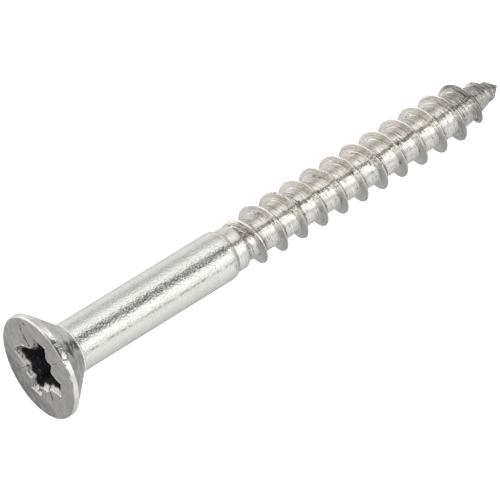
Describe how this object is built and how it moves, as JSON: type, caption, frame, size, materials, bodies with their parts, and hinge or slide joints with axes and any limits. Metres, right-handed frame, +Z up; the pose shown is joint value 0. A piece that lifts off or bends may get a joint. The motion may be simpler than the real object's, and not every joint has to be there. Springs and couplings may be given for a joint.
{
  "type": "wood screw",
  "caption": "Countersunk stainless wood screw with a cross recess, a plain shank, a coarse right-hand thread and a gimlet point.",
  "frame": {"origin": "centre of the head's flat face, which sits flush with the surface of the piece that the screw holds", "axes": "+X along the screw's axis from the head to the point; +Z up, with the screw lying level; +Y completes a right-handed set"},
  "size_m": [0.05, 0.0092, 0.0092],
  "materials": {
    "head_steel": "bare stainless steel, satin from cold heading, with smears and small nicks",
    "shank_steel": "bare stainless steel, drawn wire surface, bright with fine pits",
    "thread_steel": "bare stainless steel, bright rolled thread with fine lines round it",
    "point_steel": "bare stainless steel, rougher and darker than the thread, scratched"
  },
  "bodies": {
    "root": {"countersunk_head": "head_steel", "plain_shank": "shank_steel", "threaded_shank": "thread_steel", "gimlet_point": "point_steel"}
  },
  "joints": []
}
